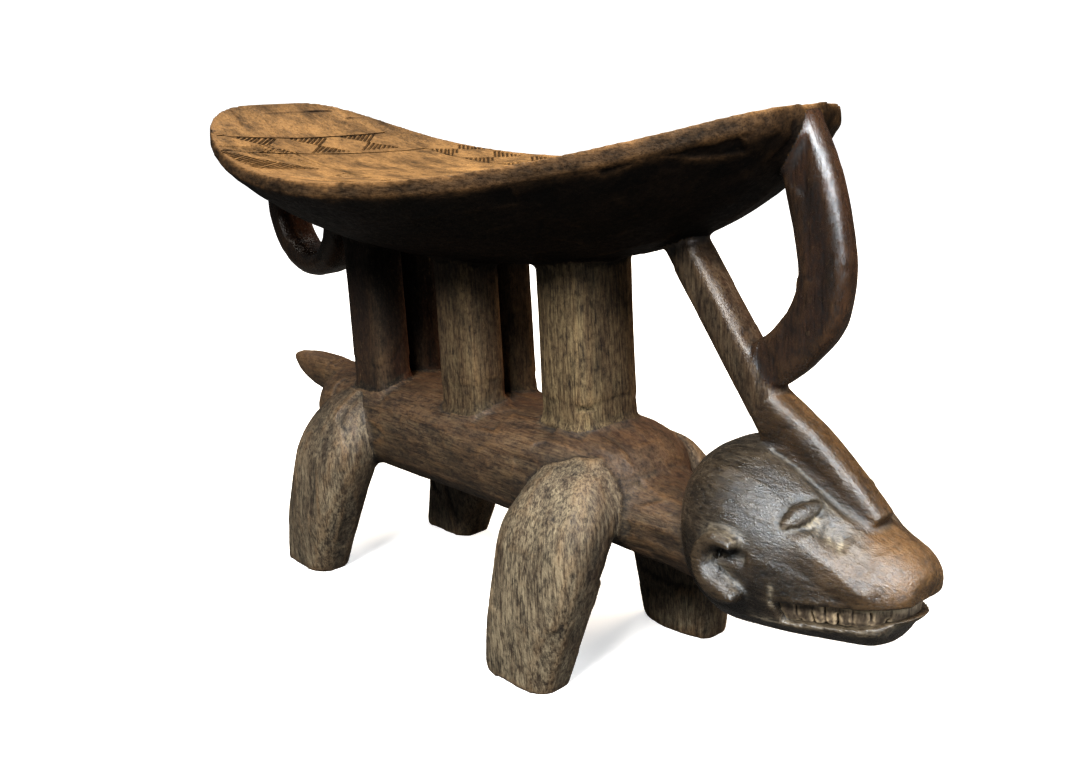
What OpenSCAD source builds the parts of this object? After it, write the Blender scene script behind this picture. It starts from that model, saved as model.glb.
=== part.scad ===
// Carved wooden headrest in the form of a standing animal.
// +X points to the animal's head, +Z is up, and the feet stand on z = 0.
// "near" is the -Y side and "far" is the +Y side. Each named form meets its neighbours face to face.

/* [Seat] */
// Length of the saddle-shaped seat from tip to tip
seat_l = 305; // [270:1:340]
// Width of the seat at its middle
seat_w = 131; // [115:1:150]
// Height of the rim above the ground at the seat's middle
seat_h = 172; // [162:1:200]
// Rise of the rim from the middle to the front tip
front_rise = 18.5; // [8:0.5:30]
// Rise of the rim from the middle to the rear tip
rear_rise = 29; // [12:1:36]
// Height of the flat band round the rim
rim_band = 5; // [3:0.5:8]
// Depth of the hull below the rim band
hull_depth = 29; // [22:1:34]
// Depth of the dished top below the rim
dish = 4; // [1:0.5:8]

/* [Posts] */
// Size of a rear or middle post along the animal
post_l = 25; // [18:1:28]
// Size of a rear or middle post across the animal
post_w = 18; // [12:1:20]
// Gap between the near row and the far row of posts
row_gap = 4; // [2:0.5:10]
// Size of the front post along the animal
front_post_l = 27; // [20:1:31]
// Size of the front post across the animal
front_post_w = 30; // [22:1:36]
// Place of the rear posts along the animal
rear_post_x = -58; // [-70:1:-50]
// Place of the middle posts along the animal
middle_post_x = 6; // [-4:1:12]
// Place of the front post along the animal
front_post_x = 59; // [52:1:64]
// How far the far row stands behind the near row
far_row_back = 8; // [0:1:12]

/* [Body] */
// Height of the crest of the back
back_h = 85; // [78:1:92]
// Height of the belly
belly_h = 47; // [40:1:54]
// Width of the trunk
trunk_w = 54; // [46:1:64]
// Rear end of the trunk
rump_x = -108; // [-116:1:-100]
// Front end of the trunk
chest_x = 94; // [86:1:100]
// Half the distance between the near feet and the far feet
stance = 34; // [30:1:40]
// Size of a foot along the animal
foot_l = 33; // [24:1:36]
// Size of a foot across the animal
foot_w = 18; // [14:1:24]
// Place of the near rear foot along the animal
near_rear_x = -89; // [-96:1:-84]
// Place of the near front foot along the animal
near_front_x = 58; // [52:1:66]
// How far the far legs stand in front of the near legs
far_legs_on = 13; // [0:1:16]
// Rear tip of the tail
tail_x = -154; // [-160:1:-140]

/* [Head] */
// Front of the muzzle
muzzle_x = 191; // [184:1:204]
// Back of the skull
skull_x = 112; // [108:1:118]
// Width of the skull at the ears
skull_w = 54; // [46:1:62]
// Height of the skull
skull_t = 57; // [50:1:64]
// Width of the muzzle behind the teeth
muzzle_w = 35; // [30:1:42]
// Height of the opening between the lips
mouth_gap = 7; // [4:0.5:9]
// Number of teeth
teeth_n = 17; // [11:2:21]
// Gap between two teeth
tooth_gap = 0.8; // [0.6:0.1:1.5]

/* [Handles] */
// Width of the strut and the nose ridge across the animal
strut_w = 11.5; // [8:0.5:14]
// Thickness of the strut
strut_t = 12; // [9:0.5:15]
// Width of the front handle across the animal
handle_w = 9; // [7:0.5:14]
// Thickness of the front handle
handle_t = 16.5; // [11:0.5:18]
// Width of the rear handle across the animal
rear_handle_w = 18; // [12:1:24]
// Thickness of the rear handle
rear_handle_t = 11; // [6:0.5:13]

/* [Hidden] */

near = -1;
far = 1;
seat_x = -0.5;                                   // middle of the seat
row_y = (row_gap + post_w) / 2;                // middle of a row of posts
front_x = max(muzzle_x, seat_x + seat_l / 2);  // the two ends of the whole headrest
rear_x = min(tail_x, seat_x - seat_l / 2);
origin_x = (front_x + rear_x) / 2;
trunk_z = (back_h + belly_h) / 2;
trunk_t = back_h - belly_h;
far_rear_x = near_rear_x + far_legs_on;
rear_lean = 20;                                // how far a rear leg leans forward from foot to haunch
skull_z = trunk_z;                             // middle of the skull
sink = 8;                                      // how far a form runs on inside its neighbour before it is cut
dark = [0.20, 0.15, 0.12];
brown = [0.30, 0.21, 0.15];
worn = [0.42, 0.31, 0.21];

// ---- curves and skins ----

function power(v, e) = sign(v) * pow(abs(v), e);

// One point of a Catmull-Rom curve between b and c
function blend(a, b, c, d, t) =
    0.5 * (2 * b + (c - a) * t + (2 * a - 5 * b + 4 * c - d) * t * t + (3 * b - a - 3 * c + d) * t * t * t);

// Every column of the stations, blended smoothly from row to row
function smooth(rows, steps) = [
    for (i = [0 : len(rows) - 2], s = [0 : steps - (i < len(rows) - 2 ? 1 : 0)])
        let (last = len(rows) - 1)
        blend(rows[max(i - 1, 0)], rows[i], rows[i + 1], rows[min(i + 2, last)], s / steps)
];

// A ring of points round [x, y, z], square to a path that climbs at the given angle
function ring(x, y, z, half_w, half_t, climb, soft, sides) = [
    for (k = [0 : sides - 1])
        let (a = 360 * (k + 0.5) / sides)
        let (across = half_w * power(cos(a), 2 / soft))
        let (out = half_t * power(sin(a), 2 / soft))
        [x - out * sin(climb), y + across, z + out * cos(climb)]
];

function average(points) = [for (i = [0 : 2]) sum(points, i) / len(points)];
function sum(points, i, k = 0) = k < len(points) ? points[k][i] + sum(points, i, k + 1) : 0;

// A closed skin over rings of equal length, with a fan at each end
module skin(rings) {
    n = len(rings[0]);
    m = len(rings);
    caps = [average(rings[0]), average(rings[m - 1])];
    sides = [for (j = [0 : m - 2], k = [0 : n - 1])
        let (a = j * n + k, b = j * n + (k + 1) % n)
        each [[a, a + n, b + n], [a, b + n, b]]];
    start = [for (k = [0 : n - 1]) [m * n, k, (k + 1) % n]];
    end = [for (k = [0 : n - 1]) [m * n + 1, (m - 1) * n + (k + 1) % n, (m - 1) * n + k]];
    polyhedron(points = concat([for (r = rings) each r], caps), faces = concat(sides, start, end));
}

// A rounded form along stations [x, y, z, half width, half thickness]
module limb(stations, soft = 2.4, sides = 16, steps = 4) {
    rows = smooth(stations, steps);
    last = len(rows) - 1;
    skin([for (i = [0 : last])
        let (go = rows[min(i + 1, last)] - rows[max(i - 1, 0)])
        ring(rows[i][0], rows[i][1], rows[i][2], rows[i][3], rows[i][4], atan2(go[2], go[0]), soft, sides)]);
}

// An upright form whose sections stay level: stations [x, y, z, half length, half width]
module upright(stations, soft = 3, sides = 16, steps = 4) {
    rows = smooth(stations, steps);
    skin([for (r = rows) [for (k = [0 : sides - 1])
        let (a = 360 * (k + 0.5) / sides)
        [r[0] + r[3] * power(cos(a), 2 / soft), r[1] + r[4] * power(sin(a), 2 / soft), r[2]]]]);
}

// The finished form: one mesh, once its neighbours are cut away
module carved() {
    translate([-origin_x, 0, 0]) resize([0, 0, 0]) children();
}

// ---- the seat ----

seat_stations = 26;
end_turn = 87.5;                               // the last section, as an angle of the plan's rounding
under_points = 13;
top_points = 9;

function rim_z(u) = seat_h + (u > 0 ? front_rise * (0.85 * u * u + 0.15 * pow(u, 4))
                                   : rear_rise * (0.65 * u * u + 0.35 * pow(u, 4)));
function rim_y(u) = seat_w / 2 * (u > 0 ? pow(1 - pow(u, 1.45), 1 / 2.6) : pow(1 - pow(-u, 1.6), 1 / 3.6));
function hull_drop(u) = hull_depth * (u > 0 ? pow(1 - pow(u, 4), 0.6) : pow(1 - pow(-u, 3), 0.7));

// The underside of the hull along the middle line, and the two tips of the rim
function under_z(x) = let (u = (x - seat_x) / (seat_l / 2)) rim_z(u) - rim_band - hull_drop(u);
front_tip = [seat_x + seat_l / 2, 0, rim_z(1)];
rear_tip = [seat_x - seat_l / 2, 0, rim_z(-1)];

// One section of the seat: across the dished top, down the rim band, and back under the hull
function seat_section(u) =
    let (x = seat_x + seat_l / 2 * u, y = rim_y(u), z = rim_z(u))
    let (hollow = dish * (1 - pow(abs(u), 3)), drop = hull_drop(u))
    concat(
        [for (i = [0 : top_points - 1])
            let (v = 1 - 2 * i / (top_points - 1))
            [x, y * v * 0.985, z - hollow * (1 - v * v)]],
        [for (i = [0 : under_points - 1])
            let (v = -cos(180 * i / (under_points - 1)))
            [x, y * v, z - rim_band - drop * pow(1 - pow(abs(v), 1.8), 0.9)]]);

module seat_raw() {
    skin([for (i = [0 : seat_stations])
        seat_section(sin(end_turn * (2 * i / seat_stations - 1)))]);
}

module seat_panel() {
    color(dark) carved() seat_raw();
}

// ---- the posts ----

module post_raw(x, y, l, w) {
    top = seat_h - rim_band;
    upright([
        [x, y, back_h - 2 * sink, l / 2 + 0.5, w / 2],
        [x, y, (back_h + top) / 2, l / 2 - 0.5, w / 2 - 0.3],
        [x - 1, y, top, l / 2 + 1, w / 2 + 0.3]
    ], soft = 3.6, steps = 3);
}

module post(x, y, l, w) {
    color(brown) carved() difference() {
        post_raw(x, y, l, w);
        seat_raw();
        trunk_raw();
    }
}

module post_near_rear() { post(rear_post_x, near * row_y, post_l, post_w); }
module post_near_middle() { post(middle_post_x, near * row_y, post_l, post_w); }
module post_far_rear() { post(rear_post_x - far_row_back, far * row_y, post_l, post_w); }
module post_far_middle() { post(middle_post_x - far_row_back, far * row_y, post_l, post_w); }
module post_front() { post(front_post_x, 0, front_post_l, front_post_w); }

// ---- the body ----

module trunk_raw() {
    w = trunk_w / 2;
    t = trunk_t / 2;
    limb([
        [rump_x, 0, trunk_z - 2, w * 0.25, t * 0.3],
        [rump_x + 5, 0, trunk_z - 1, w * 0.62, t * 0.72],
        [rump_x + 24, 0, trunk_z - 1, w * 0.95, t * 0.98],
        [-30, 0, trunk_z, w * 0.97, t],
        [30, 0, trunk_z + 1, w, t],
        [chest_x - 22, 0, trunk_z + 1, w, t],
        [chest_x - 5, 0, trunk_z - 2, w * 0.66, t * 0.72],
        [chest_x, 0, trunk_z - 3, w * 0.3, t * 0.35]
    ], soft = 2.7, sides = 20);
}

module trunk() {
    color(brown) carved() trunk_raw();
}

// A leg from its flat foot up into the haunch or the shoulder
module leg_raw(x, side, lean) {
    l = foot_l / 2;
    w = foot_w / 2;
    y = side * stance;
    h = back_h - 5;                            // the leg ends inside the back, under the crest
    upright([
        [x, y, 0, l, w],
        [x + lean * 0.3, y, h * 0.2, l + 2, w + 1],
        [x + lean * 0.7, y * 0.96, h * 0.475, l + 4, w + 2.5],
        [x + lean, y * 0.82, h * 0.725, l + 4, w + 4],
        [x + lean * 1.15, y * 0.6, h * 0.9125, l - 2, w + 3],
        [x + lean * 1.25, y * 0.5, h, l * 0.4, w * 0.5]
    ]);
}

module rear_leg(x, side) {
    color(worn) carved() difference() {
        leg_raw(x, side, rear_lean);
        trunk_raw();
    }
}

module front_leg(x, side, lean) {
    color(worn) carved() difference() {
        leg_raw(x, side, lean);
        trunk_raw();
        neck_raw();
    }
}

module leg_near_rear() { rear_leg(near_rear_x, near); }
module leg_near_front() { front_leg(near_front_x, near, 15); }
module leg_far_rear() { rear_leg(far_rear_x, far); }
module leg_far_front() { front_leg(near_front_x + far_legs_on, far, -2); }

module tail() {
    z = trunk_z + 10;
    color(brown) carved() difference() {
        limb([
            [tail_x, 0, z + 3, 0.8, 0.8],
            [tail_x + 4, 0, z + 3, 3.2, 3.2],
            [tail_x + 16, 0, z + 1, 6, 6.5],
            [tail_x + 34, 0, z - 1, 7, 8.5],
            [rump_x + 2 * sink, 0, z - 2, 7, 8]
        ], sides = 14);
        trunk_raw();
        for (side = [near, far]) leg_raw(side == near ? near_rear_x : far_rear_x, side, rear_lean);
    }
}

// ---- the neck and the head ----

module neck_raw() {
    limb([
        [chest_x - 20, 0, trunk_z - 4, 21, 15],
        [chest_x - 4, 0, trunk_z - 6, 19, 14],
        [skull_x - 2, 0, trunk_z - 8, 17, 12.5],
        [skull_x + 14, 0, trunk_z - 10, 17, 12.5]
    ]);
}

module neck() {
    color(brown) carved() difference() {
        neck_raw();
        trunk_raw();
        head_raw();
    }
}

module head_raw() {
    w = skull_w / 2;
    t = skull_t / 2;
    m = muzzle_w / 2;
    long = muzzle_x - skull_x;
    limb([
        [skull_x, 0, skull_z + 1, w * 0.16, t * 0.16],
        [skull_x + long * 0.04, 0, skull_z + 1, w * 0.5, t * 0.5],
        [skull_x + long * 0.15, 0, skull_z + 1, w * 0.86, t * 0.86],
        [skull_x + long * 0.33, 0, skull_z, w, t],
        [skull_x + long * 0.55, 0, skull_z - 3.5, w * 0.9, t * 0.84],
        [skull_x + long * 0.76, 0, skull_z - 6.5, m, t * 0.65],
        [skull_x + long * 0.91, 0, skull_z - 7, m * 0.78, t * 0.49],
        [muzzle_x - 1.5, 0, skull_z - 8.5, m * 0.45, t * 0.26],
        [muzzle_x, 0, skull_z - 8.5, m * 0.14, t * 0.08]
    ], soft = 2.3, sides = 24);
}

mouth_x = muzzle_x - 35;                       // corner of the mouth
mouth_z = skull_z - skull_t * 0.19;
mouth_tilt = 7;                                // the lips climb a little towards the front
tooth_fan = 230;                               // angle between the gaps of the two last teeth

module in_mouth() {
    translate([mouth_x, 0, mouth_z]) rotate([0, -mouth_tilt, 0]) children();
}

// The opening between the lips, from the skin of the muzzle in to the core that holds the teeth
module mouth_space() {
    in_mouth() translate([0, -muzzle_w, -mouth_gap]) cube([muzzle_w * 1.5, 2 * muzzle_w, mouth_gap]);
}

module jaw_space() {
    in_mouth() translate([0, -muzzle_w, -mouth_gap - skull_t]) cube([muzzle_w * 1.5, 2 * muzzle_w, skull_t]);
}

// The head's own shape drawn in towards the middle of the muzzle
module muzzle_core(part) {
    translate([mouth_x, 0, 0]) scale([part, part, 1]) translate([-mouth_x, 0, 0]) head_raw();
}

module head() {
    color(dark) carved() difference() {
        head_raw();
        difference() {
            mouth_space();
            muzzle_core(0.62);
        }
        jaw_space();
        strut_raw();
    }
}

module jaw() {
    color(worn) carved() intersection() {
        head_raw();
        jaw_space();
    }
}

// The row of teeth stands back from the lips; the gaps fan out from a point inside the muzzle
module teeth() {
    color([0.62, 0.53, 0.40]) carved() difference() {
        intersection() {
            muzzle_core(0.87);
            mouth_space();
        }
        muzzle_core(0.62);
        for (k = [1 : teeth_n - 1]) translate([mouth_x + 8, 0, mouth_z])
            rotate([0, 0, tooth_fan * (k / teeth_n - 0.5)])
                translate([0, -tooth_gap / 2, -2 * mouth_gap]) cube([2 * muzzle_w, tooth_gap, 4 * mouth_gap]);
    }
}

// The curl of an ear, from its thin top point round to the leaf below: angle, radius, half thickness
ear_curl = [
    [55, 9.5, 1.6],
    [95, 8.5, 2.6],
    [140, 7.5, 3],
    [185, 7, 3.4],
    [230, 6.5, 4.2],
    [275, 7, 4.2],
    [310, 10, 1.6]
];

module ear(side) {
    x = skull_x + 30;
    z = skull_z - 2.5;
    y = side * (skull_w / 2 - 0.5);
    color(brown) carved() difference() {
        limb([for (c = ear_curl) [x + c[1] * cos(c[0]), y, z + c[1] * sin(c[0]), 4.5, c[2]]],
            sides = 12, steps = 3);
        head_raw();
    }
}

module ear_near() { ear(near); }
module ear_far() { ear(far); }

// An almond lid: it climbs towards the nose and turns with the face
module eye(side) {
    color(worn) carved() difference() {
        translate([skull_x + 48.4, side * (skull_w / 2 - 11.6), skull_z + skull_t * 0.25])
            rotate([0, -25, side * -62])
            limb([
                [-6.5, 0, 0, 0.7, 0.7],
                [-3.2, 0, 0, 2.2, 2.2],
                [0, 0, 0, 2.9, 2.9],
                [3.2, 0, 0, 2.2, 2.2],
                [6.5, 0, 0, 0.7, 0.7]
            ], sides = 12, steps = 3);
        head_raw();
    }
}

module eye_near() { eye(near); }
module eye_far() { eye(far); }

// ---- the strut, the nose ridge and the handles ----

strut_x = front_tip[0] - 48;                   // where the strut leaves the hull
strut_top = [strut_x, 0, under_z(strut_x) + 3];
strut_end = [skull_x + 26, 0, skull_z + skull_t / 2 + 10.5];  // where it becomes the ridge of the nose
handle_drop = front_tip[2] - strut_end[2];     // height between the rim's front tip and the ridge
rear_foot_x = rear_tip[0] + 56;                // where the rear handle runs back into the hull

module strut_raw() {
    go = strut_end - strut_top;
    back = strut_top - go * sink / norm(go);
    limb([
        [back[0], 0, back[2], strut_w / 2, strut_t / 2],
        [strut_top[0], 0, strut_top[2], strut_w / 2, strut_t / 2],
        [strut_end[0], 0, strut_end[2], strut_w / 2, strut_t / 2]
    ], soft = 4, steps = 3);
}

module nose_raw() {
    w = strut_w / 2;
    limb([
        [strut_end[0], 0, strut_end[2], w, strut_t / 2],
        [strut_end[0] + 11.5, 0, strut_end[2] - 11, w * 0.98, 9.2],
        [strut_end[0] + 25, 0, strut_end[2] - 21.6, w * 0.88, 8.6],
        [strut_end[0] + 36, 0, strut_end[2] - 30, w * 0.78, 6.8]
    ], soft = 4.5);
}

module strut() {
    color(dark) carved() difference() {
        strut_raw();
        seat_raw();
        handle_raw();
    }
}

module nose_ridge() {
    color(dark) carved() difference() {
        nose_raw();
        strut_raw();
        head_raw();
        handle_raw();
    }
}

// The handle falls from the rim's front tip, bulges forward and turns back onto the ridge
module handle_raw() {
    w = handle_w / 2;
    t = handle_t / 2;
    x = front_tip[0];
    z = strut_end[2];
    limb([
        [x - 5, 0, z + handle_drop * 0.95, w, t * 0.7],
        [x - 1, 0, z + handle_drop * 0.81, w, t * 0.95],
        [x + 3, 0, z + handle_drop * 0.64, w, t],
        [x + 5, 0, z + handle_drop * 0.49, w, t],
        [x + 3, 0, z + handle_drop * 0.34, w, t],
        [x - 5, 0, z + handle_drop * 0.22, w, t * 0.95],
        [strut_end[0], 0, z + 12, w, t * 0.9],
        [strut_end[0] - 7, 0, z + 8, w * 0.9, t * 0.5]
    ], soft = 3.4);
}

module front_handle() {
    color(dark) carved() difference() {
        handle_raw();
        seat_raw();
    }
}

// The rear handle hangs from the rim's rear tip and curls back up under the hull
module rear_handle() {
    w = rear_handle_w / 2;
    t = rear_handle_t / 2;
    x = rear_tip[0];
    z = rear_tip[2];
    color(dark) carved() difference() {
        limb([
            [x + 11, 0, z - 21, w, t],
            [x + 5, 0, z - 39, w, t],
            [x + 6, 0, z - 54, w, t],
            [x + 15, 0, z - 67, w, t],
            [x + 31, 0, z - 73, w, t],
            [x + 46, 0, z - 69, w, t],
            [rear_foot_x - 2, 0, z - 58, w, t],
            [rear_foot_x, 0, under_z(rear_foot_x) + 5, w, t]
        ], soft = 3);
        seat_raw();
    }
}

seat_panel();
post_near_rear();
post_near_middle();
post_far_rear();
post_far_middle();
post_front();
trunk();
leg_near_rear();
leg_near_front();
leg_far_rear();
leg_far_front();
tail();
neck();
head();
jaw();
teeth();
ear_near();
ear_far();
eye_near();
eye_far();
nose_ridge();
strut();
front_handle();
rear_handle();
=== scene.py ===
# %% [markdown]
# # A carved wooden headrest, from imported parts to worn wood
# The real thing is cut from a single block: a standing animal carries a dished seat on five posts.
# One block means that no form has a seam where it meets the next, so the plan is to melt copies of all
# the parts into one skin, carve that skin with shallow knife cuts, and only then share it out again into
# named pieces. Modelling each piece alone would be simpler, but every joint would show as a hard line.

# %% Load the frame
import math

import bmesh
import bpy
import numpy as np
from mathutils import Matrix, Vector, bvhtree, kdtree


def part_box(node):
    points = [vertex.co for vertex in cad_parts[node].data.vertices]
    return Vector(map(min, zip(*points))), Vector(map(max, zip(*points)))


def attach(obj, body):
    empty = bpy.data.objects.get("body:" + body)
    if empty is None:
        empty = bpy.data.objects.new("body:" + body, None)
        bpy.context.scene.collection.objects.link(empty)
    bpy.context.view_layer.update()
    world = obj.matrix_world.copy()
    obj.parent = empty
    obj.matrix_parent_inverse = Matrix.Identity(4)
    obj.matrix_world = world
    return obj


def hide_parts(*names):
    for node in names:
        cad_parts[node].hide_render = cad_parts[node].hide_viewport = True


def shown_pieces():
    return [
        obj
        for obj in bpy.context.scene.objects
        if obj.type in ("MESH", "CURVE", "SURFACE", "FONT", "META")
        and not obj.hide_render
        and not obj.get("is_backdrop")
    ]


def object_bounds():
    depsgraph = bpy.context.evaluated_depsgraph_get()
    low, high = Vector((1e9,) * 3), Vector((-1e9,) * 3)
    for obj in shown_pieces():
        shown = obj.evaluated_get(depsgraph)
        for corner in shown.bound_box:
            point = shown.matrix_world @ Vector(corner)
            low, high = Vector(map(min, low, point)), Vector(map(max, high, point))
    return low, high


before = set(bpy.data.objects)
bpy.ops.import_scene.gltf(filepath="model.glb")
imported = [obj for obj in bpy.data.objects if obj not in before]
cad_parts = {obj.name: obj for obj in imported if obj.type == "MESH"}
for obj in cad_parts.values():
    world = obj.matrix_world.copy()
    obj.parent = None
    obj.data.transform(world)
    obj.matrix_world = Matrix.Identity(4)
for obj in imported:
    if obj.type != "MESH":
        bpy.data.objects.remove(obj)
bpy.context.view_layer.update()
MM = 0.001

# %% [markdown]
# The camera comes first. It stands a little above the head and to its right, close enough that the muzzle
# looms larger than the hind legs. A matrix made from three directions places it; a Track To constraint
# would do as well, but could not hold the small tilt of a hand-held view.

# %% Camera
CAMERA_AT = (0.3157, -0.2511, 0.1932)
TURN, DOWN, TILT = math.radians(50.27), math.radians(14.0), math.radians(-2.99)
look = Vector((-math.sin(TURN) * math.cos(DOWN), math.cos(TURN) * math.cos(DOWN), -math.sin(DOWN)))
level = Vector((math.cos(TURN), math.sin(TURN), 0))
over = level.cross(look)
right = math.cos(TILT) * level + math.sin(TILT) * over
above = -math.sin(TILT) * level + math.cos(TILT) * over

camera = bpy.data.objects.new("camera", bpy.data.cameras.new("camera"))
bpy.context.scene.collection.objects.link(camera)
turned = Matrix((right, above, -look)).transposed().to_4x4()
camera.matrix_world = Matrix.Translation(CAMERA_AT) @ turned
camera.data.sensor_width = 36
camera.data.lens = 36.74
bpy.context.scene.camera = camera
bpy.context.scene.view_settings.view_transform = "Standard"
bpy.context.scene.view_settings.look = "Medium High Contrast"
print("camera", [round(v, 3) for v in camera.location])

# %% [markdown]
# ## Working on a skin as arrays
# A voxel skin of this size has some hundred thousand points, too many for a Python loop over each one.
# NumPy moves them all at once: a skin is an array of places, an array of faces and an array of edges.
# Sculpt mode could do the same by hand, but a script gives the same carving each time it runs.

# %% Arrays in and out of a mesh
VOXEL = 0.7 * MM


def read_mesh(mesh):
    places = np.empty(len(mesh.vertices) * 3)
    mesh.vertices.foreach_get("co", places)
    edges = np.empty(len(mesh.edges) * 2, dtype=np.int64)
    mesh.edges.foreach_get("vertices", edges)
    return places.reshape(-1, 3), edges.reshape(-1, 2)


def read_quads(mesh):
    faces = np.empty(len(mesh.polygons) * 4, dtype=np.int64)
    mesh.polygons.foreach_get("vertices", faces)
    return faces.reshape(-1, 4)


def normals(places, quads):
    diagonal = places[quads[:, 2]] - places[quads[:, 0]]
    other = places[quads[:, 3]] - places[quads[:, 1]]
    of_face = np.cross(diagonal, other)
    total = np.stack([sum(np.bincount(quads[:, k], of_face[:, axis], len(places)) for k in range(4))
                      for axis in range(3)], axis=1)
    return total / np.maximum(np.linalg.norm(total, axis=1, keepdims=True), 1e-20)


def neighbours(values, edges):
    a, b = edges.T
    count = np.bincount(a, minlength=len(values)) + np.bincount(b, minlength=len(values))
    mean = np.stack([np.bincount(a, values[b, k], len(values)) + np.bincount(b, values[a, k], len(values))
                     for k in range(values.shape[1])], axis=1)
    return mean / count[:, None]


def relax(values, edges, times, weight=1.0):
    weight = np.broadcast_to(weight, len(values))[:, None]
    for _ in range(times):
        values = values + 0.6 * weight * (neighbours(values, edges) - values)
    return values


# %% [markdown]
# Worn wood is never even, so most effects below are mixed with noise. Value noise is the simplest kind:
# each corner of a grid gets a random number made from its own place, and the points between are blended.

# %% Value noise
def noise(places, size, seed=0, stretch=(1, 1, 1)):
    grid = places / (size * np.array(stretch))
    corner = np.floor(grid).astype(np.int64)
    part = grid - corner
    part = part * part * (3 - 2 * part)
    total = np.zeros(len(places))
    for i in range(8):
        bits = np.array([i & 1, i >> 1 & 1, i >> 2 & 1])
        key = ((corner + bits) * np.array([73856093, 19349663, 83492791])).sum(axis=1) + seed * 2654435761
        key = (key ^ (key >> 13)) * 1274126177 & 0xFFFFFFFF
        key = (key ^ (key >> 16)) * 2246822519 & 0xFFFFFFFF
        total += np.where(bits, part, 1 - part).prod(axis=1) * (key / 0xFFFFFFFF * 2 - 1)
    return total


def clouds(places, size, seed=0, stretch=(1, 1, 1)):
    return sum(noise(places, size / 2 ** k, seed + k, stretch) / 2 ** k for k in range(3)) / 1.75


def ramp(values, start, end):
    return np.clip((values - start) / (end - start), 0, 1)


# %% [markdown]
# ## One skin over the whole block
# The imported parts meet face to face. Copies of them, each grown by a tenth of a millimetre so that they
# overlap, go into one mesh, and the Remesh modifier in voxel mode wraps it in a single even skin. A boolean
# union would keep every sharp meeting; the voxels soften them a little, as a knife and long use do.

# %% Melt copies of the parts together
ALONE = ("teeth",)
CARVED = [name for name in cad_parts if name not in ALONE]
GROW = 0.1 * MM


def copy_of(name):
    mesh = bmesh.new()
    mesh.from_mesh(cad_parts[name].data)
    bmesh.ops.remove_doubles(mesh, verts=mesh.verts, dist=1e-6)
    bmesh.ops.recalc_face_normals(mesh, faces=mesh.faces)
    mesh.normal_update()
    return mesh


def remeshed(mesh, size):
    data = bpy.data.meshes.new("rough")
    mesh.to_mesh(data)
    mesh.free()
    rough = bpy.data.objects.new("rough", data)
    bpy.context.scene.collection.objects.link(rough)
    wrap = rough.modifiers.new("wrap", "REMESH")
    wrap.mode = "VOXEL"
    wrap.voxel_size = size
    result = bpy.data.meshes.new_from_object(rough.evaluated_get(bpy.context.evaluated_depsgraph_get()))
    bpy.data.objects.remove(rough)
    return result


# %% Grow the copies and wrap them
block = bmesh.new()
corners, triangles, owner = [], [], []
for index, name in enumerate(CARVED):
    part = copy_of(name)
    for point in part.verts:
        point.co += point.normal * GROW
    bmesh.ops.triangulate(part, faces=part.faces)
    part.verts.index_update()
    start = len(corners)
    corners += [point.co.copy() for point in part.verts]
    triangles += [[start + point.index for point in face.verts] for face in part.faces]
    owner += [index] * len(part.faces)
    grown = bpy.data.meshes.new("grown")
    part.to_mesh(grown)
    block.from_mesh(grown)
    part.free()
skin_mesh = remeshed(block, VOXEL)
skin, edges = read_mesh(skin_mesh)
quads = read_quads(skin_mesh)
print("skin:", len(skin), "points,", len(quads), "faces")

# %% [markdown]
# Every point of the skin still has to know which part it came from, so that finishes and names can follow.
# A bounding-volume tree over the parts' triangles answers that in one look-up per point.

# %% Which part each point belongs to
tree = bvhtree.BVHTree.FromPolygons(corners, triangles)
label = np.array([owner[tree.find_nearest(place)[2]] for place in map(Vector, skin)])


def is_on(*names):
    return np.isin(label, [CARVED.index(name) for name in names])


HEAD = is_on("head", "jaw", "ear_near", "ear_far", "eye_near", "eye_far")
POSTS = is_on(*[name for name in CARVED if name.startswith("post")])
LEGS = is_on(*[name for name in CARVED if name.startswith("leg")])
BODY = is_on("trunk", "neck", "tail")
SEAT = is_on("seat_panel")
HANDLES = is_on("strut", "front_handle", "rear_handle", "nose_ridge")
print("points on the head:", HEAD.sum(), "seat:", SEAT.sum())

# %% [markdown]
# ## Soft meetings
# Where a leg runs into the body the wood is rounded in, and along an outer edge it is rubbed down. Both
# are smoothing, in different amounts: a point in a hollow sits under the mean of its neighbourhood, a
# point on an edge sits over it, and that height says how much to relax each one.

# %% Blend the hollows, ease the edges
def hollow(places, quads, edges, times):
    """How far each point lies under the mean of its surroundings: a hollow is above zero, an edge below."""
    return ((relax(places, edges, times) - places) * normals(places, quads)).sum(axis=1)


WIDE = int(2.4 * MM / VOXEL * 7)
skin = relax(skin, edges, 2)
pit = ramp(relax(hollow(skin, quads, edges, WIDE)[:, None], edges, 6)[:, 0], 0.05 * MM, 0.3 * MM)
soft = pit * np.where(HEAD | is_on("nose_ridge"), 0.15, 0.9)
skin = relax(skin, edges, int(40 * 0.7 * MM / VOXEL), soft)
skin = relax(skin, edges, 2, np.where(HEAD | SEAT, 0.25, 0.6))
print("hollow points:", int((pit > 0.5).sum()))

# %% [markdown]
# ## Knife work
# A carver leaves flat cuts, long in the direction of the stroke. To make them, points scattered over the
# surface each own the skin nearest to them, and that skin is pressed flat on to the point's own plane. If
# the distances are measured shorter along the stroke, the flats come out long. A noise texture would only
# make lumps; the flats catch the light as real cuts do.

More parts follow.
